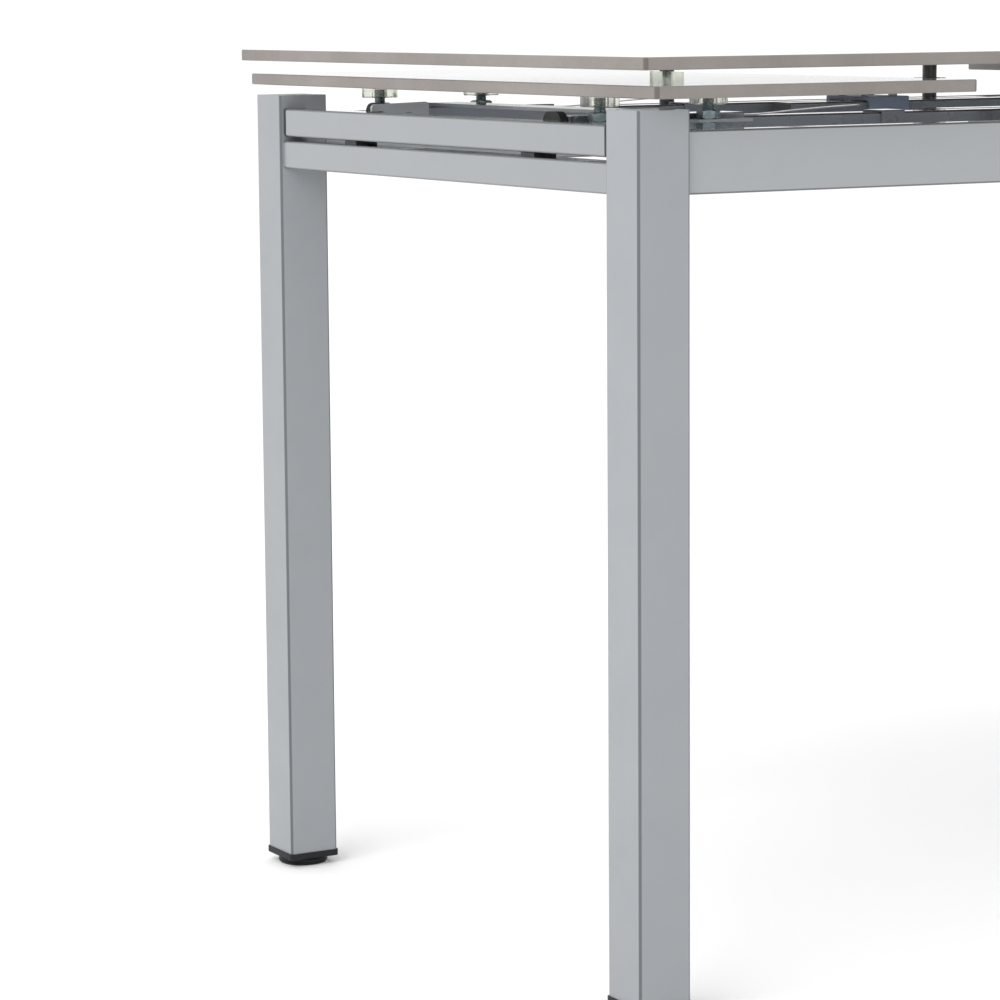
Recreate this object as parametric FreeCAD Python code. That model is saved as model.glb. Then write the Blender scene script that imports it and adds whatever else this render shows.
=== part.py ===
import FreeCAD, Part
import math
import os

os.makedirs("parts", exist_ok=True)

# Frame: X runs along the table's length, Y across it, Z up. The origin is on the floor
# under the middle of the closed table. "left" is the -X end, "front" is the -Y side.

# ---------------------------------------------------------------- driving sizes (mm)
TOP_LENGTH = 1150.0       # fixed glass, closed table
TOP_WIDTH = 700.0
TABLE_HEIGHT = 760.0
GLASS = 10.0              # thickness of every pane
GLASS_CORNER = 4.0        # vertical corner radius of a pane
GLASS_ARRIS = 0.8         # ground edge of a pane
LEAF_LENGTH = 305.0
LEAF_GAP = 12.0           # under the fixed glass, to the stowed leaf
LEAF_INSET = 10.0         # stowed leaf's outer edge, in from the fixed glass edge
END_OVERHANG = 6.0        # fixed glass past the legs, at the ends
SIDE_OVERHANG = 20.0      # fixed glass past the legs, at the sides

LEG = 48.0                # square leg tube
LEG_WALL = 2.0
LEG_CORNER = 2.5
LEG_DROP = 41.0           # leg tops, below the table's height
CAP_PLATE = 2.0

RAIL = 25.0               # square rail, cross and slide tube
RAIL_WALL = 2.0
RAIL_CORNER = 2.0
RAIL_RECESS = 3.0         # end rails, in from the legs' end faces
RAIL_DROP = 12.0          # moving end rail's top, below the legs' tops
SIDE_RAIL_HEIGHT = 50.0
SIDE_RAIL_THICK = 20.0
SIDE_RECESS = 6.0         # side rails, in from the legs' side faces

FOOT_FLANGE = 6.0
FOOT_PAD = 6.5
FOOT_PAD_RADIUS = 23.0
FOOT_GAP = 0.5            # pad to flange with the foot screwed home
FOOT_STUD_RADIUS = 5.0

SLIDE_PAST_MIDDLE = 129.0 # slide tubes, past the middle of the table
SLIDE_SPACE = 11.5        # between a left slide tube and the right one beside it
PAD_CLEARANCE = 0.3       # slide tube to every guide face
CARRIAGE_GAP = 4.0        # moving rail to the rail below
RAIL_END_GAP = 2.0        # moving rail's caps to the legs
RAIL_CAP = 4.0            # thickness of those caps
GUIDE_LENGTH = 46.0
GUIDE_WALL = 4.0
STRAP_LENGTH = 24.0       # steel strap over one slide tube
STRAP_WALL = 1.5
MIDDLE_GUIDE_X = 20.0     # middle guides, off the middle of the table
END_BLOCK = 7.0           # thickness of the block round a slide tube's outer end
END_BLOCK_RISE = 7.0      # that block, above the tube
END_BLOCK_SIDE = 1.5      # that block, past the tube's sides

STUD_X = 53.0             # outer studs, in from the legs' end faces
STUD_PITCH = 104.0
STUD_Y = 188.0
STUD_RADIUS = 5.0
PUCK_RADIUS = 16.0
LEAF_PUCK = 10.0          # thickness
NUT_FLATS = 17.0
NUT_HEIGHT = 7.5
STUD_SHOWN = 4.5          # bare stud between puck and nut
NUT_CLEARANCE = 0.4       # lower nut to the bracket's tab
PIVOT_DROP = 28.0         # lever pivots, below the leaf
FLANGE = 2.5              # thickness of a stud bracket

SADDLE_SHEET = 3.0
SADDLE_SIDE_GAP = 1.0
SADDLE_LENGTH = 168.0
SADDLE_END_GAP = 1.0      # saddle to the end block
CHEEK = 3.0               # plate welded inside one saddle of each pair, at its outer end
CHEEK_OVER = 11.5         # cheek plate, over the moving end rail
CHEEK_RISE = 6.7          # cheek plate's outer top corner, above the slide tube
CHEEK_SLOPE = 1.5
CHEEK_LENGTH = 57.0
CHEEK_HOLE = 6.6          # radius
CHEEK_CLEARANCE = 0.6     # cheek plate to the moving end rail
LEVER_SHEET = 3.0
LEVER_HEIGHT = 20.0
LEVER_OUT = 19.0          # lever plate past the stud, outwards
LEVER_IN = 40.0           # lever plate past the stud, inwards
PIVOT_IN = 16.0           # pivot, inwards from the stud
LEVER_ARM = 27.0          # pivot to the pin that lifts the leaf
PIVOT_RADIUS = 6.4
LIFT_PIN_RADIUS = 4.0
PIN_CLEARANCE = 0.35      # round pin to its hole, on the radius
PLATE_GAP = 0.9           # between neighbouring flat plates

POST_RADIUS = 7.0
POST_FAR_X = 211.0
POST_NEAR_X = 93.0
POST_Y = 190.0
POST_PUCK = 12.0          # clear puck on a low post
COLLAR = 6.0              # clear collar round a tall post
COLLAR_DROP = 24.5        # collar's top, below the fixed glass

# ---------------------------------------------------------------- worked-out places
HALF_LENGTH = TOP_LENGTH / 2.0
LEG_X = HALF_LENGTH - END_OVERHANG
LEG_Y = TOP_WIDTH / 2.0 - SIDE_OVERHANG
TOP_UNDER = TABLE_HEIGHT - GLASS
LEAF_TOP = TOP_UNDER - LEAF_GAP
LEAF_UNDER = LEAF_TOP - GLASS
LEAF_OUT = HALF_LENGTH - LEAF_INSET
LEG_BASE = FOOT_PAD + FOOT_GAP + FOOT_FLANGE
LEG_TOP = TABLE_HEIGHT - LEG_DROP
RAIL_OUT = LEG_X - RAIL_RECESS
RAIL_IN = RAIL_OUT - RAIL
SLIDE_TOP = LEG_TOP - RAIL_DROP
SLIDE_BASE = SLIDE_TOP - RAIL
SLIDE_LENGTH = RAIL_IN + SLIDE_PAST_MIDDLE
CROSS_TOP = SLIDE_BASE - CARRIAGE_GAP
RAIL_BASE = CROSS_TOP - RAIL
STUD_OUT = LEG_X - STUD_X
PIVOT_Z = LEAF_UNDER - PIVOT_DROP
FLANGE_TOP = LEAF_UNDER - LEAF_PUCK - STUD_SHOWN - NUT_HEIGHT
SADDLE_HALF = RAIL / 2.0 + SADDLE_SIDE_GAP + SADDLE_SHEET
SADDLE_TOP = SLIDE_TOP + PAD_CLEARANCE + SADDLE_SHEET
LEVER_START = SADDLE_HALF + PLATE_GAP
LEVER_END = LEVER_START + LEVER_SHEET
TAB_START = LEVER_END + PLATE_GAP
STUD_OFFSET = TAB_START + FLANGE + NUT_CLEARANCE + NUT_FLATS / math.sqrt(3.0)
SLIDE_Y = STUD_Y - STUD_OFFSET


def save(shape, node):
    shape.exportStep("parts/" + node + ".step")


def box(x0, x1, y0, y1, z0, z1):
    low = FreeCAD.Vector(min(x0, x1), min(y0, y1), min(z0, z1))
    return Part.makeBox(abs(x1 - x0), abs(y1 - y0), abs(z1 - z0), low)


def rod(radius, x, y, z0, z1):
    return Part.makeCylinder(radius, z1 - z0, FreeCAD.Vector(x, y, z0))


def pin_y(radius, x, z, y0, y1):
    low = FreeCAD.Vector(x, min(y0, y1), z)
    return Part.makeCylinder(radius, abs(y1 - y0), low, FreeCAD.Vector(0, 1, 0))


def edges_along(shape, axis):
    found = []
    for edge in shape.Edges:
        if len(edge.Vertexes) != 2:
            continue
        span = edge.Vertexes[1].Point.sub(edge.Vertexes[0].Point)
        across = [abs(span.x), abs(span.y), abs(span.z)]
        run = across.pop(axis)
        if run > 1.0 and max(across) < 1e-6:
            found.append(edge)
    return found


def edges_across(shape):
    return [edge for edge in shape.Edges if edge.BoundBox.YLength > 1.0 and edge.BoundBox.XLength < 0.01]


def rounded_box(x0, x1, y0, y1, z0, z1, axis, radius):
    solid = box(x0, x1, y0, y1, z0, z1)
    return solid.makeFillet(radius, edges_along(solid, axis))


def tube(x0, x1, y0, y1, z0, z1, axis, wall, radius):
    outer = rounded_box(x0, x1, y0, y1, z0, z1, axis, radius)
    inset = [wall, wall, wall]
    inset[axis] = -1.0
    inner = box(
        min(x0, x1) + inset[0], max(x0, x1) - inset[0],
        min(y0, y1) + inset[1], max(y0, y1) - inset[1],
        min(z0, z1) + inset[2], max(z0, z1) - inset[2],
    )
    return outer.cut(inner)


def hexagon(flats, x, y, z0, z1, bore):
    points = []
    for step in range(7):
        turn = math.radians(60.0 * step + 30.0)
        reach = flats / math.sqrt(3.0)
        points.append(FreeCAD.Vector(x + reach * math.cos(turn), y + reach * math.sin(turn), z0))
    face = Part.Face(Part.makePolygon(points))
    nut = face.extrude(FreeCAD.Vector(0, 0, z1 - z0))
    return nut.cut(rod(bore, x, y, z0 - 1.0, z1 + 1.0))


def pane(x0, x1, z0):
    half = TOP_WIDTH / 2.0
    glass = rounded_box(x0, x1, -half, half, z0, z0 + GLASS, 2, GLASS_CORNER)
    rims = []
    for face in glass.Faces:
        if abs(face.normalAt(0, 0).z) > 0.99:
            rims.extend(face.Edges)
    return glass.makeChamfer(GLASS_ARRIS, rims)


# ---------------------------------------------------------------- fixed frame
def leg(side_x, side_y):
    x1 = side_x * LEG_X
    x0 = side_x * (LEG_X - LEG)
    y1 = side_y * LEG_Y
    y0 = side_y * (LEG_Y - LEG)
    return tube(x0, x1, y0, y1, LEG_BASE, LEG_TOP - CAP_PLATE, 2, LEG_WALL, LEG_CORNER)


def cap_plate(side_x, side_y):
    x1 = side_x * LEG_X
    y1 = side_y * LEG_Y
    return rounded_box(
        x1 - side_x * LEG, x1, y1 - side_y * LEG, y1,
        LEG_TOP - CAP_PLATE, LEG_TOP, 2, LEG_CORNER,
    )


def foot_insert(side_x, side_y):
    cx = side_x * (LEG_X - LEG / 2.0)
    cy = side_y * (LEG_Y - LEG / 2.0)
    half = LEG / 2.0
    flange = rounded_box(
        cx - half, cx + half, cy - half, cy + half,
        LEG_BASE - FOOT_FLANGE, LEG_BASE, 2, LEG_CORNER,
    )
    core = half - LEG_WALL - 0.2
    plug = box(cx - core, cx + core, cy - core, cy + core, LEG_BASE, LEG_BASE + 28.0)
    bore = rod(FOOT_STUD_RADIUS + PIN_CLEARANCE, cx, cy, 0.0, LEG_BASE + 40.0)
    return flange.fuse(plug).removeSplitter().cut(bore)


def levelling_foot(side_x, side_y):
    cx = side_x * (LEG_X - LEG / 2.0)
    cy = side_y * (LEG_Y - LEG / 2.0)
    pad = rod(FOOT_PAD_RADIUS, cx, cy, 0.0, FOOT_PAD)
    pad = pad.makeChamfer(1.2, [pad.Edges[0], pad.Edges[2]])
    stud = rod(FOOT_STUD_RADIUS, cx, cy, FOOT_PAD, LEG_BASE + 24.0)
    return pad.fuse(stud).removeSplitter()


def side_rail(side_y):
    y1 = side_y * (LEG_Y - SIDE_RECESS)
    y0 = y1 - side_y * SIDE_RAIL_THICK
    reach = LEG_X - LEG
    return tube(-reach, reach, y0, y1, RAIL_BASE, RAIL_BASE + SIDE_RAIL_HEIGHT, 0, RAIL_WALL, RAIL_CORNER)


def end_rail(side_x):
    reach = LEG_Y - LEG
    return tube(
        side_x * RAIL_IN, side_x * RAIL_OUT, -reach, reach,
        RAIL_BASE, CROSS_TOP, 1, RAIL_WALL, RAIL_CORNER,
    )


def cross_member(x):
    reach = LEG_Y - SIDE_RECESS - SIDE_RAIL_THICK
    half = RAIL / 2.0
    return tube(x - half, x + half, -reach, reach, RAIL_BASE, CROSS_TOP, 1, RAIL_WALL, RAIL_CORNER)


def slide_window(x0, x1, y):
    half = RAIL / 2.0 + PAD_CLEARANCE
    return box(x0, x1, y - half, y + half, SLIDE_BASE - PAD_CLEARANCE, SLIDE_TOP + PAD_CLEARANCE)


def guide(x, slides, side_y, length, wall):
    half = RAIL / 2.0 + wall
    x0 = x - length / 2.0
    x1 = x + length / 2.0
    body = rounded_box(
        x0, x1, side_y * (min(slides) - half), side_y * (max(slides) + half),
        CROSS_TOP, SLIDE_TOP + wall, 0, 1.2,
    )
    for y in slides:
        body = body.cut(slide_window(x0 - 1.0, x1 + 1.0, side_y * y))
    return body


def glide_pad(side_x, y):
    half = RAIL / 2.0 - 2.0
    x1 = side_x * (RAIL_OUT - 2.0)
    x0 = side_x * (RAIL_IN + 2.0)
    return box(x0, x1, y - half, y + half, CROSS_TOP, SLIDE_BASE - PAD_CLEARANCE)


def post(x, y, top):
    foot = rod(POST_RADIUS + 3.0, x, y, CROSS_TOP, CROSS_TOP + 3.0)
    shaft = rod(POST_RADIUS, x, y, CROSS_TOP + 3.0, top)
    return foot.fuse(shaft).removeSplitter()


def ring(x, y, z0, z1, radius, bore):
    body = rod(radius, x, y, z0, z1)
    body = body.makeChamfer(0.6, [body.Edges[0], body.Edges[2]])
    return body.cut(rod(bore, x, y, z0 - 1.0, z1 + 1.0))


# ---------------------------------------------------------------- carriages
def slide_y(side_x):
    if side_x < 0:
        return SLIDE_Y
    return SLIDE_Y - RAIL - SLIDE_SPACE


def carriage_rail(side_x):
    reach = LEG_Y - LEG - RAIL_END_GAP - RAIL_CAP
    return tube(
        side_x * RAIL_IN, side_x * RAIL_OUT, -reach, reach,
        SLIDE_BASE, SLIDE_TOP, 1, RAIL_WALL, RAIL_CORNER,
    )


def carriage_rail_ends(side_x):
    reach = LEG_Y - LEG - RAIL_END_GAP
    ends = []
    for side_y in (-1, 1):
        plate = rounded_box(
            side_x * RAIL_IN, side_x * RAIL_OUT, side_y * (reach - RAIL_CAP), side_y * reach,
            SLIDE_BASE, SLIDE_TOP, 1, RAIL_CORNER,
        )
        ends.append(plate)
    return ends


def slide_tube(side_x, y):
    half = RAIL / 2.0
    x1 = side_x * RAIL_IN
    x0 = side_x * (RAIL_IN - SLIDE_LENGTH)
    return tube(x0, x1, y - half, y + half, SLIDE_BASE, SLIDE_TOP, 0, RAIL_WALL, RAIL_CORNER)


def slide_plug(side_x, y):
    half = RAIL / 2.0
    inner = half - RAIL_WALL - 0.2
    middle = SLIDE_BASE + half
    end = side_x * (RAIL_IN - SLIDE_LENGTH)
    head = rounded_box(
        end - side_x * 3.0, end, y - half, y + half, SLIDE_BASE, SLIDE_TOP, 0, RAIL_CORNER,
    )
    stem = box(end, end + side_x * 18.0, y - inner, y + inner, middle - inner, middle + inner)
    return head.fuse(stem).removeSplitter()


def end_block(side_x, y):
    half = RAIL / 2.0
    outer = half + END_BLOCK_SIDE
    x1 = side_x * RAIL_IN
    x0 = x1 - side_x * END_BLOCK
    low = SLIDE_BASE + PAD_CLEARANCE
    top = SLIDE_TOP + END_BLOCK_RISE
    block = box(x0, x1, y - outer, y + outer, low, top)
    upright = [edge for edge in edges_along(block, 0) if edge.CenterOfMass.z > SLIDE_TOP]
    block = block.makeFillet(9.0, upright)
    return block.cut(box(x0 - 10.0, x1 + 10.0, y - half, y + half, low - 1.0, SLIDE_TOP))


# ---------------------------------------------------------------- leaf lifting gear
def saddle(side_x, y, side_y):
    x1 = side_x * (RAIL_IN - END_BLOCK - SADDLE_END_GAP)
    x0 = x1 - side_x * SADDLE_LENGTH
    low = SLIDE_TOP - 20.0
    body = rounded_box(x0, x1, y - SADDLE_HALF, y + SADDLE_HALF, low, SADDLE_TOP, 0, 1.0)
    inner = SADDLE_HALF - SADDLE_SHEET
    hollow = box(
        min(x0, x1) - 1.0, max(x0, x1) + 1.0, y - inner, y + inner,
        low - 5.0, SADDLE_TOP - SADDLE_SHEET,
    )
    body = body.cut(hollow)
    for stud_x in (STUD_OUT, STUD_OUT - STUD_PITCH):
        pivot = side_x * (stud_x - PIVOT_IN)
        start = y + side_y * SADDLE_HALF
        end = y + side_y * (LEVER_END + 0.5)
        body = body.fuse(pin_y(PIVOT_RADIUS, pivot, PIVOT_Z, start, end))
    return body


def cheek_plate(side_x, side_y):
    outer = RAIL_IN + CHEEK_OVER
    inner = outer - CHEEK_LENGTH
    step = RAIL_IN - CHEEK_CLEARANCE
    low = SLIDE_TOP - 20.0
    over = SLIDE_TOP + CHEEK_CLEARANCE
    top = SLIDE_TOP + CHEEK_RISE
    outline = [
        (outer, over), (outer, top), (inner, top + CHEEK_SLOPE), (inner, low), (step, low), (step, over),
    ]
    y = side_y * (slide_y(side_x) - SADDLE_HALF - CHEEK)
    points = [FreeCAD.Vector(side_x * x, y, z) for x, z in outline + outline[:1]]
    plate = Part.Face(Part.makePolygon(points)).extrude(FreeCAD.Vector(0, side_y * CHEEK, 0))
    corners = [edge for edge in edges_across(plate) if edge.CenterOfMass.z > over + 1.0]
    plate = plate.makeFillet(3.5, corners)
    return plate.cut(pin_y(CHEEK_HOLE, side_x * STUD_OUT, PIVOT_Z, y - 5.0, y + 5.0))


def saddle_tie(side_x):
    middle = side_x * (STUD_OUT - STUD_PITCH / 2.0)
    reach = slide_y(side_x) + SADDLE_HALF - 2.0
    return box(middle - 17.5, middle + 17.5, -reach, reach, SADDLE_TOP, SADDLE_TOP + 3.0)


def lever(side_x, stud_x, y, side_y):
    y0 = y + side_y * LEVER_START
    y1 = y + side_y * LEVER_END
    half = LEVER_HEIGHT / 2.0
    plate = box(
        side_x * (stud_x + LEVER_OUT), side_x * (stud_x - LEVER_IN), y0, y1,
        PIVOT_Z - half, PIVOT_Z + half,
    )
    plate = plate.makeFillet(8.0, edges_along(plate, 1))
    pivot = side_x * (stud_x - PIVOT_IN)
    lift = side_x * (stud_x - PIVOT_IN + LEVER_ARM)
    plate = plate.cut(pin_y(PIVOT_RADIUS + PIN_CLEARANCE, pivot, PIVOT_Z, y0 - 5.0, y1 + 5.0))
    return plate.cut(pin_y(LIFT_PIN_RADIUS + PIN_CLEARANCE, lift, PIVOT_Z, y0 - 5.0, y1 + 5.0))


def stud_bracket(side_x, stud_x, y, side_y):
    x_out = side_x * (stud_x + 17.0)
    y0 = y + side_y * TAB_START
    flange = box(
        x_out, side_x * (stud_x - 36.0), y0, y + side_y * (STUD_OFFSET + 12.0),
        FLANGE_TOP - FLANGE, FLANGE_TOP,
    )
    tab = box(
        x_out, side_x * (stud_x - 8.0), y0, y0 + side_y * FLANGE,
        PIVOT_Z - 9.0, FLANGE_TOP - FLANGE,
    )
    lift = side_x * (stud_x - PIVOT_IN + LEVER_ARM)
    lift_pin = pin_y(LIFT_PIN_RADIUS, lift, PIVOT_Z, y + side_y * LEVER_START, y0)
    body = flange.fuse(tab).fuse(lift_pin).removeSplitter()
    hole_x = side_x * stud_x
    hole_y = y + side_y * STUD_OFFSET
    return body.cut(rod(STUD_RADIUS + 0.1, hole_x, hole_y, FLANGE_TOP - 10.0, FLANGE_TOP + 10.0))


def stud_places(side_x):
    places = []
    for stud_x in (STUD_OUT, STUD_OUT - STUD_PITCH):
        for side_y in (-1, 1):
            places.append((stud_x, side_y * slide_y(side_x), side_y))
    return places


def leaf_studs(side_x):
    shapes = []
    for stud_x, y, side_y in stud_places(side_x):
        top = LEAF_UNDER - 2.0
        low = FLANGE_TOP - FLANGE - NUT_HEIGHT - 3.0
        shapes.append(rod(STUD_RADIUS, side_x * stud_x, y + side_y * STUD_OFFSET, low, top))
    return shapes


def leaf_nuts(side_x):
    shapes = []
    for stud_x, y, side_y in stud_places(side_x):
        cx = side_x * stud_x
        cy = y + side_y * STUD_OFFSET
        low = FLANGE_TOP - FLANGE
        shapes.append(hexagon(NUT_FLATS, cx, cy, FLANGE_TOP, FLANGE_TOP + NUT_HEIGHT, STUD_RADIUS + 0.1))
        shapes.append(hexagon(NUT_FLATS, cx, cy, low - NUT_HEIGHT, low, STUD_RADIUS + 0.1))
    return shapes


def leaf_pucks(side_x):
    shapes = []
    for stud_x, y, side_y in stud_places(side_x):
        cx = side_x * stud_x
        cy = y + side_y * STUD_OFFSET
        puck = rod(PUCK_RADIUS, cx, cy, LEAF_UNDER - LEAF_PUCK, LEAF_UNDER)
        puck = puck.makeChamfer(0.6, [puck.Edges[0], puck.Edges[2]])
        bore = rod(STUD_RADIUS + 0.1, cx, cy, LEAF_UNDER - LEAF_PUCK - 1.0, LEAF_UNDER - 2.0)
        shapes.append(puck.cut(bore))
    return shapes


# ---------------------------------------------------------------- write every node
def save_frame():
    corners = [(-1, -1), (-1, 1), (1, -1), (1, 1)]
    names = ["left_front", "left_back", "right_front", "right_back"]
    for name, corner in zip(names, corners):
        save(leg(*corner), "leg_" + name)
        save(levelling_foot(*corner), "foot_" + name)
    save(Part.makeCompound([cap_plate(*corner) for corner in corners]), "leg_cap_plates")
    save(Part.makeCompound([foot_insert(*corner) for corner in corners]), "foot_inserts")
    save(side_rail(-1), "side_rail_front")
    save(side_rail(1), "side_rail_back")
    save(end_rail(-1), "end_rail_left")
    save(end_rail(1), "end_rail_right")
    for number, x in enumerate((-POST_FAR_X, -POST_NEAR_X, 0.0, POST_NEAR_X, POST_FAR_X)):
        save(cross_member(x), "cross_member_" + str(number + 1))


def save_guides():
    left = slide_y(-1)
    right = slide_y(1)
    middle = []
    straps = []
    for side_y in (-1, 1):
        middle.append(guide(-side_y * MIDDLE_GUIDE_X, [left, right], side_y, GUIDE_LENGTH, GUIDE_WALL))
        straps.append(guide(-POST_FAR_X, [left], side_y, STRAP_LENGTH, STRAP_WALL))
        straps.append(guide(POST_FAR_X, [right], side_y, STRAP_LENGTH, STRAP_WALL))
    save(Part.makeCompound(middle), "slide_guides_middle")
    save(Part.makeCompound(straps), "slide_straps")
    pads = []
    for side_x in (-1, 1):
        for side_y in (-1, 1):
            pads.append(glide_pad(side_x, side_y * slide_y(side_x)))
    save(Part.makeCompound(pads), "glide_pads")


def save_top():
    post_top = TOP_UNDER - POST_PUCK
    low_places = [(-POST_FAR_X, POST_Y), (-POST_NEAR_X, -POST_Y)]
    tall_places = [(POST_NEAR_X, POST_Y), (POST_FAR_X, -POST_Y)]
    save(Part.makeCompound([post(x, y, post_top) for x, y in low_places]), "posts_low")
    save(Part.makeCompound([post(x, y, TOP_UNDER) for x, y in tall_places]), "posts_tall")
    studs = [rod(4.0, x, y, post_top, TOP_UNDER - 3.0) for x, y in low_places]
    save(Part.makeCompound(studs), "post_studs")
    pucks = []
    for x, y in low_places:
        puck = rod(PUCK_RADIUS, x, y, post_top, TOP_UNDER)
        puck = puck.makeChamfer(0.6, [puck.Edges[0], puck.Edges[2]])
        pucks.append(puck.cut(rod(4.1, x, y, post_top - 1.0, TOP_UNDER - 3.0)))
    save(Part.makeCompound(pucks), "top_pucks")
    collar_top = TOP_UNDER - COLLAR_DROP
    collars = []
    for x, y in tall_places:
        collars.append(ring(x, y, collar_top - COLLAR, collar_top, PUCK_RADIUS, POST_RADIUS))
    save(Part.makeCompound(collars), "post_collars")
    save(pane(-HALF_LENGTH, HALF_LENGTH, TOP_UNDER), "top_glass")


def save_carriage(side_x, name):
    y = slide_y(side_x)
    save(carriage_rail(side_x), "carriage_rail_" + name)
    save(Part.makeCompound(carriage_rail_ends(side_x)), "carriage_rail_ends_" + name)
    save(slide_tube(side_x, -y), "slide_tube_" + name + "_front")
    save(slide_tube(side_x, y), "slide_tube_" + name + "_back")
    save(Part.makeCompound([slide_plug(side_x, -y), slide_plug(side_x, y)]), "slide_plugs_" + name)
    save(Part.makeCompound([end_block(side_x, -y), end_block(side_x, y)]), "slide_end_blocks_" + name)


def save_lift(side_x, name):
    y = slide_y(side_x)
    save(saddle(side_x, -y, -1), "saddle_" + name + "_front")
    save(saddle(side_x, y, 1), "saddle_" + name + "_back")
    save(Part.makeCompound([saddle_tie(side_x), cheek_plate(side_x, -side_x)]), "saddle_tie_" + name)
    for stud_x, where in ((STUD_OUT, "outer"), (STUD_OUT - STUD_PITCH, "inner")):
        plates = [lever(side_x, stud_x, -y, -1), lever(side_x, stud_x, y, 1)]
        save(Part.makeCompound(plates), "levers_" + where + "_" + name)


def save_leaf(side_x, name):
    outer = side_x * LEAF_OUT
    inner = side_x * (LEAF_OUT - LEAF_LENGTH)
    save(pane(min(outer, inner), max(outer, inner), LEAF_UNDER), "leaf_glass_" + name)
    save(Part.makeCompound(leaf_pucks(side_x)), "leaf_pucks_" + name)
    save(Part.makeCompound(leaf_studs(side_x)), "leaf_studs_" + name)
    save(Part.makeCompound(leaf_nuts(side_x)), "leaf_nuts_" + name)
    brackets = [stud_bracket(side_x, stud_x, y, side_y) for stud_x, y, side_y in stud_places(side_x)]
    save(Part.makeCompound(brackets), "stud_brackets_" + name)


save_frame()
save_guides()
save_top()
for end_side, end_name in ((-1, "left"), (1, "right")):
    save_carriage(end_side, end_name)
    save_lift(end_side, end_name)
    save_leaf(end_side, end_name)
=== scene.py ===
import math

import bpy
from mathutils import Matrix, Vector


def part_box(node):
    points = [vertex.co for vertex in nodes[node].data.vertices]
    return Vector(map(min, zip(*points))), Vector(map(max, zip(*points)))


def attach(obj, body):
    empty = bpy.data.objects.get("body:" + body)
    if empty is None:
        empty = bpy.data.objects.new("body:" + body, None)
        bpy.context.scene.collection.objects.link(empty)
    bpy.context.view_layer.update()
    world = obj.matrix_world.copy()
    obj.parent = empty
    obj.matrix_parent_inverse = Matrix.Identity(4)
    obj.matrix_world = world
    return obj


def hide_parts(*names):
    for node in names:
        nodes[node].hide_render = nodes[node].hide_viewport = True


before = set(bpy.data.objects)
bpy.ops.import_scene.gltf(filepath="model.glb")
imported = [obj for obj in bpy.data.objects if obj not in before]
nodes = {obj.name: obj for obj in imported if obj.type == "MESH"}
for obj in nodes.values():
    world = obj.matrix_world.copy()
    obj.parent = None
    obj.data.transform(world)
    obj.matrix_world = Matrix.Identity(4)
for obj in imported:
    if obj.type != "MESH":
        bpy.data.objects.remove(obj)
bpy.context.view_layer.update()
bpy.ops.object.select_all(action="DESELECT")


# ---------------------------------------------------------------------------
# Legs: four square steel tubes, each closed by a welded cap plate and sprayed
# in a satin silver-grey. The paint has a fine orange peel. Dark lines painted
# along the tube's corners are painted shade, for the dark reflection the
# corners catch.
# ---------------------------------------------------------------------------
def add_socket(group, name, kind, way, value=None):
    socket = group.interface.new_socket(name=name, in_out=way, socket_type=kind)
    if value is not None:
        socket.default_value = value
    return socket


def place(tree, kind, x, y, **settings):
    made = tree.nodes.new(kind)
    made.location = (x, y)
    for key, value in settings.items():
        setattr(made, key, value)
    return made


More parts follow.
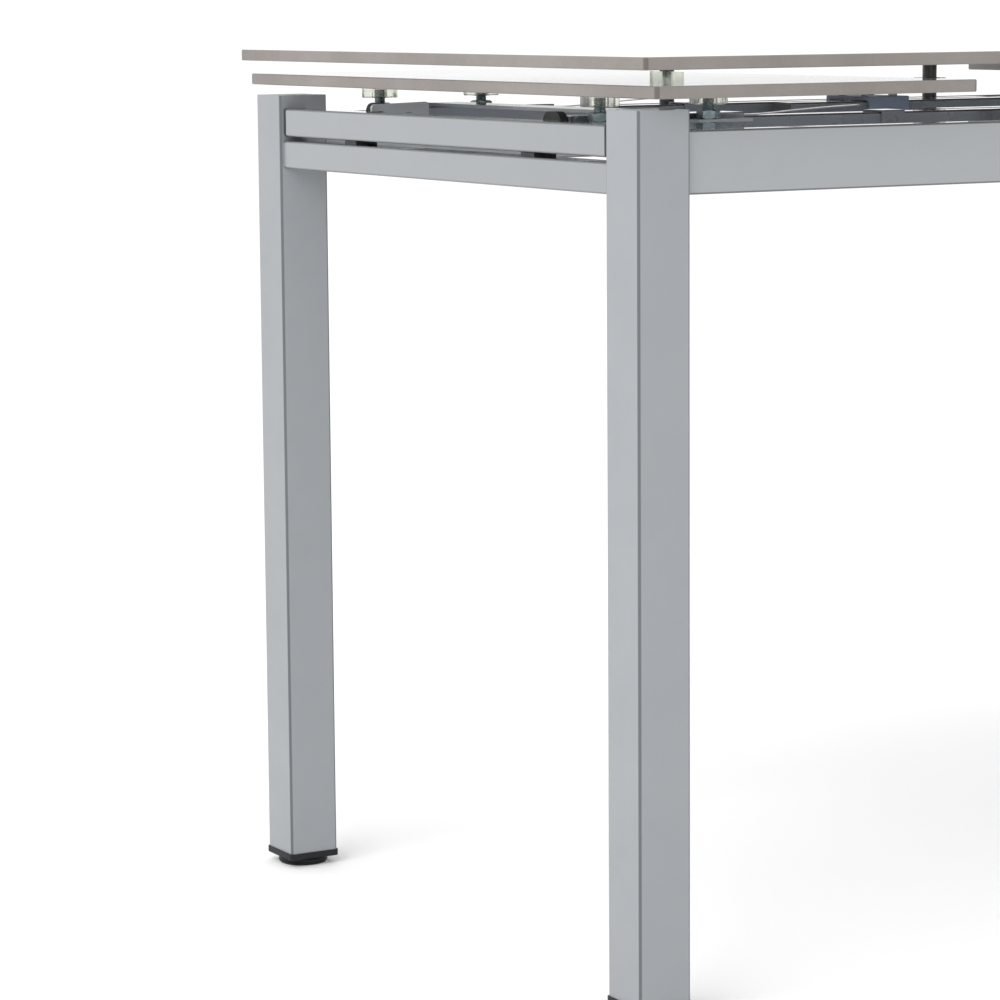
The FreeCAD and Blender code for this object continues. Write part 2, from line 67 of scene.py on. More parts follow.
def sprayed_coat_group():
    """Paint that varies: a soft cloud of tone, a fine orange peel, and roughness to match."""
    group = bpy.data.node_groups.new("sprayed coat", "ShaderNodeTree")
    add_socket(group, "Tone", "NodeSocketColor", "INPUT", (0.32, 0.34, 0.35, 1.0))
    add_socket(group, "Shade", "NodeSocketColor", "INPUT", (0.28, 0.30, 0.31, 1.0))
    add_socket(group, "Cloud Scale", "NodeSocketFloat", "INPUT", 14.0)
    add_socket(group, "Peel Scale", "NodeSocketFloat", "INPUT", 900.0)
    add_socket(group, "Speck", "NodeSocketFloat", "INPUT", 0.5)
    add_socket(group, "Roughness Low", "NodeSocketFloat", "INPUT", 0.32)
    add_socket(group, "Roughness High", "NodeSocketFloat", "INPUT", 0.44)
    add_socket(group, "Color", "NodeSocketColor", "OUTPUT")
    add_socket(group, "Roughness", "NodeSocketFloat", "OUTPUT")
    add_socket(group, "Height", "NodeSocketFloat", "OUTPUT")
    entry = place(group, "NodeGroupInput", -900, 0)
    leave = place(group, "NodeGroupOutput", 500, 0)
    coords = place(group, "ShaderNodeTexCoord", -900, -300)
    cloud = place(group, "ShaderNodeTexNoise", -600, 100)
    cloud.inputs["Detail"].default_value = 6.0
    cloud.inputs["Roughness"].default_value = 0.62
    peel = place(group, "ShaderNodeTexNoise", -600, -200)
    peel.inputs["Detail"].default_value = 2.0
    speck = place(group, "ShaderNodeTexNoise", -600, -450)
    speck.inputs["Scale"].default_value = 260.0
    speck.inputs["Detail"].default_value = 3.0
    for noise in (cloud, peel, speck):
        group.links.new(coords.outputs["Object"], noise.inputs["Vector"])
    group.links.new(entry.outputs["Cloud Scale"], cloud.inputs["Scale"])
    group.links.new(entry.outputs["Peel Scale"], peel.inputs["Scale"])
    spread = place(group, "ShaderNodeMapRange", -350, 100)
    spread.inputs["From Min"].default_value = 0.35
    spread.inputs["From Max"].default_value = 0.65
    group.links.new(cloud.outputs["Fac"], spread.inputs["Value"])
    halve = place(group, "ShaderNodeMath", -180, 20, operation="MULTIPLY")
    halve.inputs[1].default_value = 0.6
    group.links.new(spread.outputs["Result"], halve.inputs[0])
    fleck = place(group, "ShaderNodeMath", -20, -200, operation="MULTIPLY_ADD")
    group.links.new(speck.outputs["Fac"], fleck.inputs[0])
    group.links.new(entry.outputs["Speck"], fleck.inputs[1])
    group.links.new(halve.outputs["Value"], fleck.inputs[2])
    tone = place(group, "ShaderNodeMix", 180, 120, data_type="RGBA", clamp_factor=True)
    group.links.new(fleck.outputs["Value"], tone.inputs["Factor"])
    group.links.new(entry.outputs["Shade"], tone.inputs["A"])
    group.links.new(entry.outputs["Tone"], tone.inputs["B"])
    group.links.new(tone.outputs["Result"], leave.inputs["Color"])
    rough = place(group, "ShaderNodeMapRange", 180, -150)
    group.links.new(fleck.outputs["Value"], rough.inputs["Value"])
    group.links.new(entry.outputs["Roughness High"], rough.inputs["To Min"])
    group.links.new(entry.outputs["Roughness Low"], rough.inputs["To Max"])
    group.links.new(rough.outputs["Result"], leave.inputs["Roughness"])
    group.links.new(peel.outputs["Fac"], leave.inputs["Height"])
    return group


def painted_corner_light_group():
    """Masks for the painted shade and highlight lines on a tube's corners: 1 where the surface
    turns, 0 on the flats.
    """
    group = bpy.data.node_groups.new("painted corner light mask", "ShaderNodeTree")
    add_socket(group, "Upright", "NodeSocketFloat", "OUTPUT")
    add_socket(group, "Level", "NodeSocketFloat", "OUTPUT")
    leave = place(group, "NodeGroupOutput", 700, 0)
    coords = place(group, "ShaderNodeTexCoord", -700, 0)
    split = place(group, "ShaderNodeSeparateXYZ", -500, 0)
    group.links.new(coords.outputs["Normal"], split.inputs["Vector"])
    products = {}
    for row, pair in enumerate(("XY", "YZ", "ZX")):
        times = place(group, "ShaderNodeMath", -300, 200 - 200 * row, operation="MULTIPLY")
        group.links.new(split.outputs[pair[0]], times.inputs[0])
        group.links.new(split.outputs[pair[1]], times.inputs[1])
        size = place(group, "ShaderNodeMath", -120, 200 - 200 * row, operation="ABSOLUTE")
        group.links.new(times.outputs["Value"], size.inputs[0])
        products[pair] = size
    both = place(group, "ShaderNodeMath", 60, -100, operation="MAXIMUM")
    group.links.new(products["YZ"].outputs["Value"], both.inputs[0])
    group.links.new(products["ZX"].outputs["Value"], both.inputs[1])
    for height, source, output in ((150, products["XY"], "Upright"), (-150, both, "Level")):
        mask = place(group, "ShaderNodeMapRange", 300, height, interpolation_type="SMOOTHSTEP")
        mask.inputs["From Min"].default_value = 0.04
        mask.inputs["From Max"].default_value = 0.42
        group.links.new(source.outputs["Value"], mask.inputs["Value"])
        group.links.new(mask.outputs["Result"], leave.inputs[output])
    return group


sprayed_coat = sprayed_coat_group()
painted_corner_light = painted_corner_light_group()


def painted(name, tone, shade, rough_low, rough_high, upright, level, gloss=0.25):
    """Painted steel: the sprayed coat, with painted shade and highlight lines in the given colours
    on upright and level corners.
    """
    material = bpy.data.materials.new(name)
    material.use_nodes = True
    tree = material.node_tree
    shader = tree.nodes["Principled BSDF"]
    coat = place(tree, "ShaderNodeGroup", -900, 150, node_tree=sprayed_coat)
    coat.inputs["Tone"].default_value = (*tone, 1.0)
    coat.inputs["Shade"].default_value = (*shade, 1.0)
    coat.inputs["Speck"].default_value = 0.08
    coat.inputs["Roughness Low"].default_value = rough_low
    coat.inputs["Roughness High"].default_value = rough_high
    painted_light_mask = place(tree, "ShaderNodeGroup", -900, -250, node_tree=painted_corner_light)
    last = coat.outputs["Color"]
    # Corner lines are painted light: a dark colour is painted shade and dark reflection, a light
    # colour is a painted highlight.
    for x, mask, painted_light_colour in ((-600, "Upright", upright), (-380, "Level", level)):
        mix = place(tree, "ShaderNodeMix", x, 150, data_type="RGBA")
        mix.inputs["B"].default_value = (*painted_light_colour, 1.0)
        tree.links.new(painted_light_mask.outputs[mask], mix.inputs["Factor"])
        tree.links.new(last, mix.inputs["A"])
        last = mix.outputs["Result"]
    tree.links.new(last, shader.inputs["Base Color"])
    tree.links.new(coat.outputs["Roughness"], shader.inputs["Roughness"])
    bump = place(tree, "ShaderNodeBump", -300, -250)
    bump.inputs["Strength"].default_value = 0.012
    bump.inputs["Distance"].default_value = 0.00006
    tree.links.new(coat.outputs["Height"], bump.inputs["Height"])
    tree.links.new(bump.outputs["Normal"], shader.inputs["Normal"])
    shader.inputs["Coat Weight"].default_value = gloss
    shader.inputs["Coat Roughness"].default_value = 0.03
    return material


def finish_nodes(material, *names):
    for name in names:
        mesh = nodes[name].data
        mesh.materials.clear()
        mesh.materials.append(material)


# Painted shade: dark colours laid along the tubes' corners for the dark reflection they catch.
corner_shade_dark = (0.035, 0.043, 0.050)
leg_corner_shade = (0.092, 0.106, 0.117)
leg_paint = painted(
    "silver-grey leg paint", (0.279, 0.296, 0.313), (0.262, 0.279, 0.296), 0.34, 0.46,
    leg_corner_shade, corner_shade_dark,
)
corners = ("left_front", "left_back", "right_front", "right_back")
finish_nodes(leg_paint, "leg_cap_plates", *["leg_" + corner for corner in corners])

# ---------------------------------------------------------------------------
# Side rails, lower end rails and cross members: thin-walled steel tube, sawn
# square and welded between the legs. The paint is glossier than the legs'.
# Dark lines along the tube's corners are painted shade, for the dark reflection
# there, and the side rails get a lighter copy of the paint: painted light, for
# the brighter light that falls on them.
# ---------------------------------------------------------------------------
rail_corner_shade = (0.07, 0.08, 0.09)
rail_paint = painted(
    "silver-grey rail paint", (0.236, 0.252, 0.268), (0.223, 0.239, 0.255), 0.24, 0.34,
    corner_shade_dark, rail_corner_shade, gloss=1.0,
)
# A lighter copy of the rail paint for the side rails: painted light, standing in for the brighter
# light on them.
side_rail_lit_paint = painted(
    "lighter silver-grey rail paint for painted light", (0.298, 0.317, 0.329), (0.283, 0.302, 0.315), 0.24, 0.34,
    corner_shade_dark, rail_corner_shade, gloss=1.0,
)
finish_nodes(side_rail_lit_paint, "side_rail_front", "side_rail_back")
finish_nodes(rail_paint, "end_rail_left", "end_rail_right")
finish_nodes(rail_paint, *["cross_member_%d" % number for number in (1, 2, 3, 4, 5)])


# ---------------------------------------------------------------------------
# Feet: a black moulded insert driven into each leg, its flange standing a
# little proud of the tube all round, and a round levelling pad on a screw
# under it. The pad is turned with a soft rim and a groove round its side.
# ---------------------------------------------------------------------------
def moulded(name, tone, shade, rough_low, rough_high, grain=700.0):
    """A moulded plastic: one tone with faint flow clouds and a fine spark-eroded grain."""
    material = bpy.data.materials.new(name)
    material.use_nodes = True
    tree = material.node_tree
    shader = tree.nodes["Principled BSDF"]
    coat = place(tree, "ShaderNodeGroup", -700, 100, node_tree=sprayed_coat)
    coat.inputs["Tone"].default_value = (*tone, 1.0)
    coat.inputs["Shade"].default_value = (*shade, 1.0)
    coat.inputs["Cloud Scale"].default_value = 40.0
    coat.inputs["Peel Scale"].default_value = grain
    coat.inputs["Roughness Low"].default_value = rough_low
    coat.inputs["Roughness High"].default_value = rough_high
    tree.links.new(coat.outputs["Color"], shader.inputs["Base Color"])
    tree.links.new(coat.outputs["Roughness"], shader.inputs["Roughness"])
    bump = place(tree, "ShaderNodeBump", -300, -250)
    bump.inputs["Strength"].default_value = 0.25
    bump.inputs["Distance"].default_value = 0.0005
    tree.links.new(coat.outputs["Height"], bump.inputs["Height"])
    tree.links.new(bump.outputs["Normal"], shader.inputs["Normal"])
    return material


def pick_faces(piece, wanted):
    """Open the piece for editing with only the wanted faces selected."""
    bpy.context.view_layer.objects.active = piece
    if piece.mode != "EDIT":
        bpy.ops.object.mode_set(mode="EDIT")
    bpy.context.tool_settings.mesh_select_mode = (False, False, True)
    bpy.ops.mesh.select_all(action="DESELECT")
    bpy.ops.object.mode_set(mode="OBJECT")
    for face in piece.data.polygons:
        face.select = wanted(face)
    bpy.ops.object.mode_set(mode="EDIT")


def pick_edges(piece, wanted):
    """Open the piece for editing with only the wanted edges selected."""
    bpy.context.view_layer.objects.active = piece
    if piece.mode != "EDIT":
        bpy.ops.object.mode_set(mode="EDIT")
    bpy.context.tool_settings.mesh_select_mode = (False, True, False)
    bpy.ops.mesh.select_all(action="DESELECT")
    bpy.ops.object.mode_set(mode="OBJECT")
    points = [vertex.co.copy() for vertex in piece.data.vertices]
    for edge in piece.data.edges:
        edge.select = wanted(points[edge.vertices[0]], points[edge.vertices[1]])
    bpy.ops.object.mode_set(mode="EDIT")


def grow(rise, scale):
    """Extrude the selected end upwards and scale the new rim about the piece's own axis."""
    bpy.ops.mesh.extrude_region_move(TRANSFORM_OT_translate={"value": (0.0, 0.0, rise)})
    bpy.ops.transform.resize(value=(scale, scale, 1.0), center_override=(0.0, 0.0, 0.0))


def turn_up(name, sides, radius, start, steps):
    """A turned piece: a thin disc at the start height, carried up by (rise, radius) steps."""
    first, now = steps[0]
    bpy.ops.mesh.primitive_cylinder_add(vertices=sides, radius=radius, depth=first)
    piece = bpy.context.object
    piece.name = name
    bpy.ops.transform.translate(value=(0.0, 0.0, start + first / 2.0))
    bpy.ops.object.transform_apply(location=True, rotation=True, scale=True)
    pick_faces(piece, lambda face: face.normal.z > 0.9)
    spread = now / radius
    bpy.ops.transform.resize(value=(spread, spread, 1.0), center_override=(0.0, 0.0, 0.0))
    for rise, target in steps[1:]:
        grow(rise, target / now)
        now = target
    bpy.ops.mesh.select_all(action="SELECT")
    bpy.ops.mesh.normals_make_consistent(inside=False)
    bpy.ops.object.mode_set(mode="OBJECT")
    return piece


def smooth(piece, degrees=32.0):
    bpy.ops.object.select_all(action="DESELECT")
    piece.select_set(True)
    bpy.context.view_layer.objects.active = piece
    bpy.ops.object.shade_smooth_by_angle(angle=math.radians(degrees))


def copy_to(piece, name, x, y, z=0.0):
    """A copy with its own mesh, moved into place with the move written into the mesh."""
    twin = piece.copy()
    twin.data = piece.data.copy()
    twin.name = name
    bpy.context.scene.collection.objects.link(twin)
    bpy.ops.object.select_all(action="DESELECT")
    twin.select_set(True)
    bpy.context.view_layer.objects.active = twin
    twin.location = (x, y, z)
    bpy.ops.object.transform_apply(location=True, rotation=True, scale=True)
    return twin


def discard(piece):
    bpy.data.objects.remove(piece, do_unlink=True)


def middle_of(node):
    low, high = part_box(node)
    return (low + high) / 2.0


foot_black = moulded("black foot plastic", (0.016, 0.019, 0.021), (0.010, 0.012, 0.014), 0.42, 0.58)
foot_black.node_tree.nodes["Principled BSDF"].inputs["Specular IOR Level"].default_value = 0.2
leg_low, leg_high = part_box("leg_left_front")
flange_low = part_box("foot_inserts")[0].z
flange = leg_low.z - flange_low
flange_proud = 0.0012
flange_corner = 0.0032
flange_rim = 0.0010
flange_lip = 0.0006
lip_drop = 0.00002
plug_half = 0.0216
plug_height = 0.028
plug_taper = 0.97
tapped_radius = 0.00535
insert_half = (leg_high.x - leg_low.x) / 2.0 + flange_proud
bpy.ops.mesh.primitive_cube_add(size=1.0)
insert_pattern = bpy.context.object
insert_pattern.name = "foot_insert"
insert_pattern.scale = (2.0 * insert_half, 2.0 * insert_half, flange)
insert_pattern.location = (0.0, 0.0, flange_low + flange / 2.0)
bpy.ops.object.transform_apply(location=True, rotation=True, scale=True)
pick_edges(insert_pattern, lambda a, b: abs(a.z - b.z) > flange / 2.0)
bpy.ops.mesh.bevel(offset=flange_corner, segments=6, affect="EDGES")
pick_edges(insert_pattern, lambda a, b: abs(a.z - b.z) < 1e-6 and a.z < flange_low + 1e-6)
bpy.ops.mesh.bevel(offset=flange_rim, segments=3, affect="EDGES")
pick_faces(insert_pattern, lambda face: face.normal.z > 0.9)
bpy.ops.mesh.inset(thickness=flange_lip)
bpy.ops.transform.translate(value=(0.0, 0.0, -lip_drop))
grow(0.0, plug_half / (insert_half - flange_lip))
grow(plug_height, plug_taper)
bpy.ops.mesh.select_all(action="SELECT")
bpy.ops.mesh.normals_make_consistent(inside=False)
bpy.ops.object.mode_set(mode="OBJECT")
hole_steps = [(0.05, tapped_radius), (0.05, tapped_radius)]
screw_hole = turn_up("screw_hole", 48, tapped_radius, -0.01, hole_steps)
bpy.context.view_layer.objects.active = insert_pattern
tapped = insert_pattern.modifiers.new("tapped", "BOOLEAN")
tapped.object = screw_hole
tapped.operation = "DIFFERENCE"
tapped.solver = "EXACT"
bpy.ops.object.modifier_apply(modifier=tapped.name)
discard(screw_hole)
insert_pattern.data.materials.clear()
insert_pattern.data.materials.append(foot_black)
for corner in corners:
    centre = middle_of("leg_" + corner)
    insert = copy_to(insert_pattern, "foot_insert_" + corner, centre.x, centre.y)
    smooth(insert)
    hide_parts("foot_inserts")
    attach(insert, "frame")
discard(insert_pattern)

foot_low, foot_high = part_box("foot_left_front")
pad_radius = (foot_high.x - foot_low.x) / 2.0
pad_height = 0.0066
foot_screw = 0.0049
screw_point = 0.001
pad_steps = [
    (0.0007, pad_radius - 0.0009), (0.0010, pad_radius - 0.0002), (0.0010, pad_radius - 0.0001),
    (0.0003, pad_radius - 0.0008), (0.0006, pad_radius - 0.0008), (0.0003, pad_radius - 0.0001),
    (0.0014, pad_radius - 0.0004), (0.0008, pad_radius - 0.0014), (0.0004, pad_radius - 0.0030),
    (0.00005, foot_screw), (foot_high.z - pad_height - screw_point, foot_screw),
    (screw_point, 0.0042),
]
foot_pattern = turn_up("levelling_foot", 64, pad_radius - 0.0018, 0.0, pad_steps)
foot_pattern.data.materials.append(foot_black)
for corner in corners:
    centre = middle_of("foot_" + corner)
    foot = copy_to(foot_pattern, "levelling_foot_" + corner, centre.x, centre.y)
    smooth(foot)
    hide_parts("foot_" + corner)
    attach(foot, "foot_" + corner)
discard(foot_pattern)

# ---------------------------------------------------------------------------
# Slide guides and glide pads: blue-grey nylon blocks near the middle of the
# table, with a window for each slide tube, and black pads on the lower end
# rails. They are moulded, with a fine grain.
# ---------------------------------------------------------------------------
guide_nylon = moulded("blue-grey nylon", (0.200, 0.235, 0.310), (0.150, 0.180, 0.245), 0.35, 0.5)
finish_nodes(guide_nylon, "slide_guides_middle")
pad_black = moulded("black pad plastic", (0.022, 0.023, 0.025), (0.012, 0.013, 0.014), 0.5, 0.7)
finish_nodes(pad_black, "glide_pads")

# ---------------------------------------------------------------------------
# Posts under the fixed top: turned black rods screwed to the cross members.
# Two carry clear acrylic pucks bonded to the glass; the other two run right up
# to it through a clear collar.
# ---------------------------------------------------------------------------
# Painted highlight: the post paint lays faint lighter lines where the corner mask turns.
post_black = painted(
    "black post paint", (0.030, 0.033, 0.037), (0.020, 0.022, 0.025), 0.26, 0.38,
    (0.05, 0.05, 0.05), (0.05, 0.05, 0.05),
)
finish_nodes(post_black, "posts_low", "posts_tall")


def clear_acrylic_material(name, tone, shade):
    material = bpy.data.materials.new(name)
    material.use_nodes = True
    tree = material.node_tree
    shader = tree.nodes["Principled BSDF"]
    shader.inputs["Transmission Weight"].default_value = 1.0
    shader.inputs["IOR"].default_value = 1.49
    coat = place(tree, "ShaderNodeGroup", -700, 100, node_tree=sprayed_coat)
    coat.inputs["Tone"].default_value = (*tone, 1.0)
    coat.inputs["Shade"].default_value = (*shade, 1.0)
    coat.inputs["Cloud Scale"].default_value = 120.0
    coat.inputs["Roughness Low"].default_value = 0.04
    coat.inputs["Roughness High"].default_value = 0.22
    tree.links.new(coat.outputs["Color"], shader.inputs["Base Color"])
    tree.links.new(coat.outputs["Roughness"], shader.inputs["Roughness"])
    return material


# The acrylic's clouds of tone are its own; their yellow-green shade is painted light, standing in
# for caustic tints.
clear_acrylic = clear_acrylic_material("clear acrylic", (0.85, 0.86, 0.80), (0.58, 0.61, 0.50))
finish_nodes(clear_acrylic, "top_pucks", "post_collars", "leaf_pucks_left", "leaf_pucks_right")


def zinc_material():
    material = bpy.data.materials.new("blue zinc plate")
    material.use_nodes = True
    tree = material.node_tree
    shader = tree.nodes["Principled BSDF"]
    shader.inputs["Metallic"].default_value = 1.0
    coat = place(tree, "ShaderNodeGroup", -700, 100, node_tree=sprayed_coat)
    coat.inputs["Tone"].default_value = (0.40, 0.48, 0.50, 1.0)
    coat.inputs["Shade"].default_value = (0.20, 0.25, 0.27, 1.0)
    coat.inputs["Cloud Scale"].default_value = 160.0
    coat.inputs["Roughness Low"].default_value = 0.20
    coat.inputs["Roughness High"].default_value = 0.42
    tree.links.new(coat.outputs["Color"], shader.inputs["Base Color"])
    tree.links.new(coat.outputs["Roughness"], shader.inputs["Roughness"])
    return material


zinc = zinc_material()
finish_nodes(zinc, "post_studs")


# ---------------------------------------------------------------------------
# The fixed top and the leaves: 10 mm panes, lacquered greige behind, their
# faces polished and their edges ground to a satin with a small arris.
# ---------------------------------------------------------------------------
def pane_material():
    material = bpy.data.materials.new("lacquered glass")
    material.use_nodes = True
    tree = material.node_tree
    shader = tree.nodes["Principled BSDF"]
    coat = place(tree, "ShaderNodeGroup", -900, 100, node_tree=sprayed_coat)
    coat.inputs["Tone"].default_value = (0.240, 0.219, 0.207, 1.0)
    coat.inputs["Shade"].default_value = (0.178, 0.158, 0.146, 1.0)
    coat.inputs["Cloud Scale"].default_value = 9.0
    coat.inputs["Roughness Low"].default_value = 0.36
    coat.inputs["Roughness High"].default_value = 0.5
    coords = place(tree, "ShaderNodeTexCoord", -1100, -250)
    split = place(tree, "ShaderNodeSeparateXYZ", -900, -250)
    tree.links.new(coords.outputs["Normal"], split.inputs["Vector"])
    size = place(tree, "ShaderNodeMath", -700, -250, operation="ABSOLUTE")
    tree.links.new(split.outputs["Z"], size.inputs[0])
    flat = place(tree, "ShaderNodeMath", -500, -250, operation="GREATER_THAN")
    flat.inputs[1].default_value = 0.95
    tree.links.new(size.outputs["Value"], flat.inputs[0])
    face = place(tree, "ShaderNodeMix", -300, 150, data_type="RGBA")
    face.inputs["B"].default_value = (0.50, 0.48, 0.455, 1.0)
    tree.links.new(flat.outputs["Value"], face.inputs["Factor"])
    tree.links.new(coat.outputs["Color"], face.inputs["A"])
    # Painted shade: the upright corners of each pane's edge are darkened.
    painted_light_mask = place(tree, "ShaderNodeGroup", -500, 400, node_tree=painted_corner_light)
    corner = place(tree, "ShaderNodeMix", -120, 250, data_type="RGBA")
    corner.inputs["B"].default_value = (0.105, 0.092, 0.083, 1.0)
    tree.links.new(painted_light_mask.outputs["Upright"], corner.inputs["Factor"])
    tree.links.new(face.outputs["Result"], corner.inputs["A"])
    tree.links.new(corner.outputs["Result"], shader.inputs["Base Color"])
    rough = place(tree, "ShaderNodeMix", -300, -100, data_type="FLOAT")
    rough.inputs["B"].default_value = 0.03
    tree.links.new(flat.outputs["Value"], rough.inputs["Factor"])
    tree.links.new(coat.outputs["Roughness"], rough.inputs["A"])
    tree.links.new(rough.outputs["Result"], shader.inputs["Roughness"])
    bump = place(tree, "ShaderNodeBump", -300, -350)
    bump.inputs["Strength"].default_value = 0.04
    bump.inputs["Distance"].default_value = 0.0003
    tree.links.new(coat.outputs["Height"], bump.inputs["Height"])
    tree.links.new(bump.outputs["Normal"], shader.inputs["Normal"])
    return material


lacquered_glass = pane_material()
finish_nodes(lacquered_glass, "top_glass", "leaf_glass_left", "leaf_glass_right")

# ---------------------------------------------------------------------------
# Carriages: the upper end rail and two slide tubes behind it, painted, with
# black caps on the rail, a black domed block round each tube's outer end and
# a grey plug in its inner end.
# ---------------------------------------------------------------------------
# The slide paint carries painted shade: dark lines along the tubes' corners.
slide_paint = painted(
    "slide tube paint", (0.166, 0.185, 0.210), (0.150, 0.168, 0.192), 0.22, 0.32,
    corner_shade_dark, (0.018, 0.021, 0.026), gloss=1.0,
)
# Painted highlight: the bracket paint lays light lines along its corners.
bracket_paint = painted(
    "bracket paint", (0.330, 0.350, 0.370), (0.285, 0.305, 0.322), 0.26, 0.38,
    (0.42, 0.44, 0.46), (0.42, 0.44, 0.46), gloss=0.6,
)
plug_grey = moulded("grey plug plastic", (0.085, 0.092, 0.100), (0.065, 0.070, 0.078), 0.4, 0.6)
finish_nodes(slide_paint, "slide_straps")
for end in ("left", "right"):
    finish_nodes(rail_paint, "carriage_rail_" + end)
    finish_nodes(pad_black, "carriage_rail_ends_" + end, "slide_end_blocks_" + end)
    finish_nodes(slide_paint, "slide_tube_" + end + "_front", "slide_tube_" + end + "_back")
    finish_nodes(plug_grey, "slide_plugs_" + end)
    finish_nodes(slide_paint, "saddle_" + end + "_front", "saddle_" + end + "_back")
    finish_nodes(slide_paint, "levers_outer_" + end, "levers_inner_" + end)
    finish_nodes(bracket_paint, "saddle_tie_" + end, "stud_brackets_" + end)

# ---------------------------------------------------------------------------
# Leaf springs: a thin strip of bright steel riveted flat to each slide tube
# just behind the saddle, curling up towards the middle of the table.
# ---------------------------------------------------------------------------
# Painted shade: the spring steel lays dark lines along the strip's edges.
spring_steel = painted(
    "spring steel", (0.36, 0.38, 0.40), (0.22, 0.24, 0.26), 0.16, 0.28,
    (0.05, 0.06, 0.07), (0.05, 0.06, 0.07), gloss=0.9,
)
spring_width = 0.010
spring_gauge = 0.0008
spring_start = 0.004
spring_tip = 0.55
saddle_space = 0.003
tube_space = 0.00005
spring_runs = [0.012, 0.010, 0.012, 0.014, 0.016, 0.016, 0.016, 0.014, 0.010]
spring_rises = [0.0, 0.0003, 0.0007, 0.0010, 0.0010, 0.0009, 0.0008, 0.0005, 0.0002]
for end, side in (("left", -1.0), ("right", 1.0)):
    saddle_low, saddle_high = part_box("saddle_" + end + "_front")
    spring_foot = min(abs(saddle_low.x), abs(saddle_high.x)) - saddle_space
    for where in ("front", "back"):
        tube_low, tube_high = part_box("slide_tube_" + end + "_" + where)
        bpy.ops.mesh.primitive_cube_add(size=1.0)
        spring = bpy.context.object
        spring.name = "leaf_spring_" + end + "_" + where
        spring.scale = (spring_start, spring_width, spring_gauge)
        spring.location = (
            side * (spring_foot - spring_start / 2.0), (tube_low.y + tube_high.y) / 2.0,
            tube_high.z + spring_gauge / 2.0 + tube_space,
        )
        bpy.ops.object.transform_apply(location=True, rotation=True, scale=True)
        pick_faces(spring, lambda face: face.normal.x * side < -0.9)
        for run, rise in zip(spring_runs, spring_rises):
            step = (-side * run, 0.0, rise)
            bpy.ops.mesh.extrude_region_move(TRANSFORM_OT_translate={"value": step})
        bpy.ops.transform.resize(value=(1.0, spring_tip, 1.0))
        bpy.ops.mesh.select_all(action="SELECT")
        bpy.ops.mesh.normals_make_consistent(inside=False)
        bpy.ops.object.mode_set(mode="OBJECT")
        spring.data.materials.append(spring_steel)
        smooth(spring, 30.0)
        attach(spring, "carriage_" + end)


# ---------------------------------------------------------------------------
# Leaf studs and nuts: M10 threaded rod, rolled and zinc plated, with a hexagon
# nut above and below the bracket. Each nut is cut from hexagon bar, chamfered
# at thirty degrees on both faces and bored through.
# ---------------------------------------------------------------------------
def stud_spots(node, radius):
    """Centres of a leaf's four studs, which stand at the corners of the node's box."""
    low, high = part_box(node)
    spots = []
    for x in (low.x + radius, high.x - radius):
        for y in (low.y + radius, high.y - radius):
            spots.append((x, y))
    return spots


stud_radius = 0.005
thread_pitch = 0.0015
thread_root = 0.0042
thread_crest = stud_radius - 0.00005
thread_slope = thread_pitch * 0.42
thread_flat = thread_pitch * 0.08
thread_start = 0.0006
stud_low, stud_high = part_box("leaf_studs_left")
stud_length = stud_high.z - stud_low.z
thread_steps = [(thread_start, stud_radius - 0.0001)]
for _ in range(int((stud_length - 2.0 * thread_start) / thread_pitch)):
    thread_steps += [(thread_slope, thread_root), (thread_flat, thread_root)]
    thread_steps += [(thread_slope, thread_crest), (thread_flat, thread_crest)]
stud_pattern = turn_up("threaded_stud", 32, thread_root, stud_low.z, thread_steps)
stud_pattern.data.materials.append(zinc)

bracket_gauge = 0.0025
plate_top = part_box("stud_brackets_left")[1].z
plate_under = plate_top - bracket_gauge
nut_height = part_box("leaf_nuts_left")[1].z - plate_top
nut_flats = 0.017
nut_reach = nut_flats / math.sqrt(3.0)
nut_face = nut_flats / 2.0 * 0.95
blank_reach = nut_reach + 0.00002
bore_radius = stud_radius + 0.0001
bar_length = nut_height + 0.001
bpy.ops.mesh.primitive_cylinder_add(vertices=6, radius=nut_reach, depth=bar_length)
nut_pattern = bpy.context.object
nut_pattern.name = "hexagon_nut"
bpy.ops.object.transform_apply(location=True, rotation=True, scale=True)

chamfer = (nut_reach - nut_face) * math.tan(math.radians(30.0))
cone_steps = [
    (chamfer, blank_reach), (nut_height - 2.0 * chamfer, blank_reach), (chamfer, nut_face),
]
turned_blank = turn_up("turned_blank", 64, nut_face, -nut_height / 2.0, cone_steps)
bore_steps = [(nut_height, bore_radius), (nut_height, bore_radius)]
nut_bore = turn_up("nut_bore", 48, bore_radius, -nut_height, bore_steps)
for cutter, way in ((turned_blank, "INTERSECT"), (nut_bore, "DIFFERENCE")):
    bpy.context.view_layer.objects.active = nut_pattern
    shave = nut_pattern.modifiers.new("shave", "BOOLEAN")
    shave.object = cutter
    shave.operation = way
    shave.solver = "EXACT"
    bpy.ops.object.modifier_apply(modifier=shave.name)
    discard(cutter)
nut_pattern.data.materials.clear()
nut_pattern.data.materials.append(zinc)

nut_levels = (
    ("upper", plate_top + nut_height / 2.0),
    ("lower", plate_under - nut_height / 2.0),
)
for end in ("left", "right"):
    for number, (x, y) in enumerate(stud_spots("leaf_studs_" + end, stud_radius)):
        stud = copy_to(stud_pattern, "threaded_stud_%s_%d" % (end, number + 1), x, y)
        smooth(stud, 20.0)
        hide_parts("leaf_studs_" + end)
        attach(stud, "leaf_" + end)
        for level, z in nut_levels:
            nut = copy_to(nut_pattern, "nut_%s_%s_%d" % (level, end, number + 1), x, y, z)
            smooth(nut, 25.0)
            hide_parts("leaf_nuts_" + end)
            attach(nut, "leaf_" + end)
discard(stud_pattern)
discard(nut_pattern)

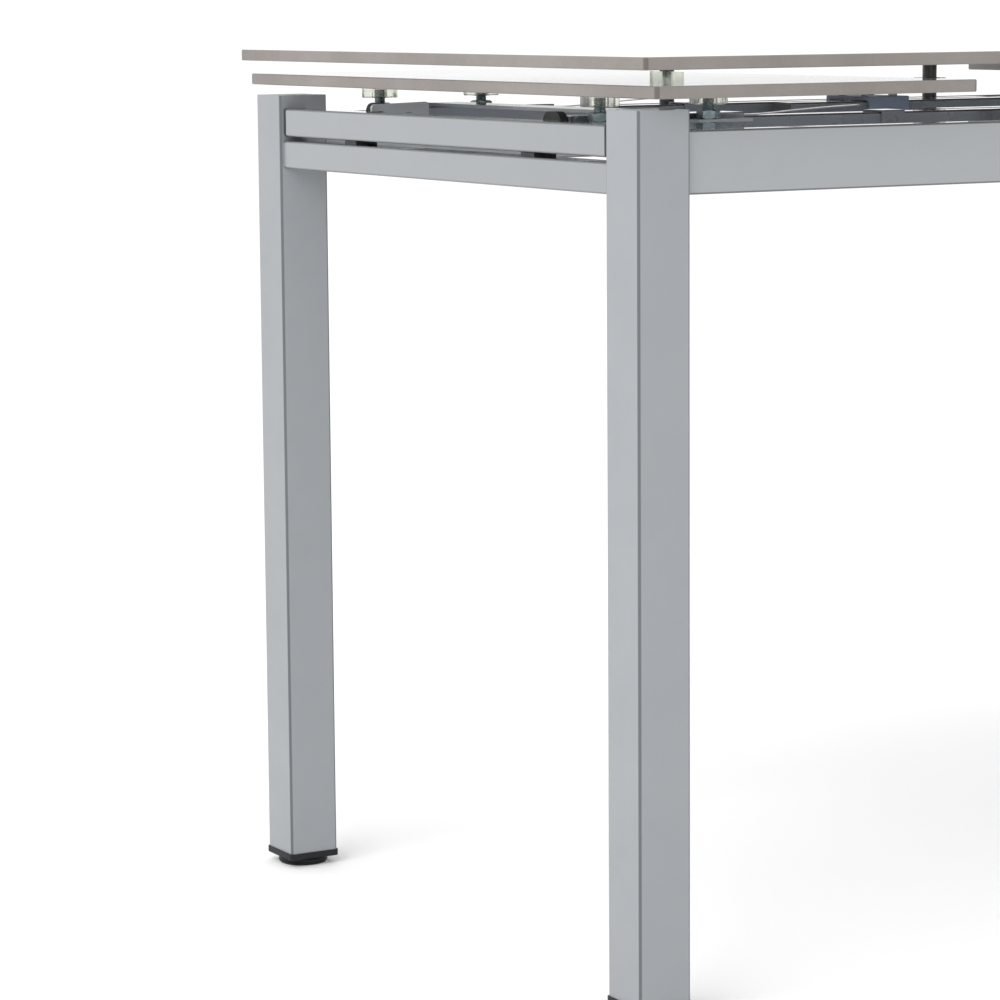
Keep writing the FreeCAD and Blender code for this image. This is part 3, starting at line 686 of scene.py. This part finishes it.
# ---------------------------------------------------------------------------
# Guide screws: a zinc pan-head screw at each end of each middle guide, with a
# cross recess, driven down into the cross member.
# ---------------------------------------------------------------------------
screw_steps = [
    (0.0004, 0.0044), (0.0009, 0.0043), (0.0006, 0.0038), (0.0004, 0.0028), (0.0002, 0.0016),
]
recess_size = (0.0044, 0.0009, 0.0018)
recess_rise = 0.0027
guide_low, guide_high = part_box("slide_guides_middle")
screw_pattern = turn_up("guide_screw", 32, 0.0042, guide_high.z + 0.00005, screw_steps)
for turn in (0.0, math.pi / 2.0):
    bpy.ops.mesh.primitive_cube_add(size=1.0)
    slot_cutter = bpy.context.object
    slot_cutter.scale = recess_size
    slot_cutter.rotation_euler = (0.0, 0.0, turn)
    slot_cutter.location = (0.0, 0.0, guide_high.z + recess_rise)
    bpy.ops.object.transform_apply(location=True, rotation=True, scale=True)
    bpy.context.view_layer.objects.active = screw_pattern
    recess = screw_pattern.modifiers.new("recess", "BOOLEAN")
    recess.object = slot_cutter
    recess.operation = "DIFFERENCE"
    recess.solver = "EXACT"
    bpy.ops.object.modifier_apply(modifier=recess.name)
    discard(slot_cutter)
screw_pattern.data.materials.clear()
screw_pattern.data.materials.append(zinc)
guide_length = 0.046
screw_inset = 0.007
for where, side in (("front", -1.0), ("back", 1.0)):
    left_tube = abs(middle_of("slide_tube_left_" + where).y)
    right_tube = abs(middle_of("slide_tube_right_" + where).y)
    outer_end = guide_low.x if side > 0.0 else guide_high.x - guide_length
    screw_row = (outer_end + screw_inset, outer_end + guide_length - screw_inset)
    for number, x in enumerate(screw_row):
        for row, reach in enumerate((left_tube, right_tube)):
            name = "guide_screw_%s_%d_%d" % (where, number + 1, row + 1)
            screw = copy_to(screw_pattern, name, x, side * reach)
            smooth(screw, 28.0)
            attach(screw, "frame")
discard(screw_pattern)

# ---------------------------------------------------------------------------
# Studio: a pale floor, a bright even surround and one large soft lamp, seen
# from table height past the near corner.
# ---------------------------------------------------------------------------
floor_size = 400.0
surround_strength = 1.08
lamp_energy = 60.0
lamp_place = Vector((-3.2, -1.2, 2.6))
lamp_target = Vector((0.0, 0.0, 0.5))
eye = (-2.0448, -2.6833, 0.8054)
eye_tilt = 82.0987
eye_roll = 0.437
eye_turn = -29.9347
sensor_width = 36.0
focal_length = 130.27

bpy.ops.mesh.primitive_plane_add(size=floor_size, location=(0.0, 0.0, 0.0))
floor = bpy.context.object
floor.name = "studio_floor"
floor_white = bpy.data.materials.new("floor white")
floor_white.use_nodes = True
floor_shader = floor_white.node_tree.nodes["Principled BSDF"]
floor_shader.inputs["Base Color"].default_value = (1.0, 1.0, 1.0, 1.0)
floor_shader.inputs["Roughness"].default_value = 0.9
floor.data.materials.append(floor_white)

world = bpy.data.worlds.new("studio")
bpy.context.scene.world = world
world.use_nodes = True
surround = world.node_tree.nodes["Background"]
surround.inputs["Color"].default_value = (1.0, 1.0, 1.0, 1.0)
surround.inputs["Strength"].default_value = surround_strength
bpy.context.scene.view_settings.view_transform = "Standard"

soft_lamp = bpy.data.objects.new("soft_lamp", bpy.data.lights.new("soft_lamp", "AREA"))
bpy.context.scene.collection.objects.link(soft_lamp)
soft_lamp.data.shape = "RECTANGLE"
soft_lamp.data.size = 3.0
soft_lamp.data.size_y = 2.0
soft_lamp.data.energy = lamp_energy
soft_lamp.location = lamp_place
soft_lamp.rotation_euler = (lamp_target - lamp_place).to_track_quat("-Z", "Y").to_euler()

camera = bpy.data.objects.new("camera", bpy.data.cameras.new("camera"))
bpy.context.scene.collection.objects.link(camera)
camera.location = eye
camera.rotation_euler = [math.radians(turn) for turn in (eye_tilt, eye_roll, eye_turn)]
camera.data.sensor_width = sensor_width
camera.data.lens = focal_length
bpy.context.scene.camera = camera
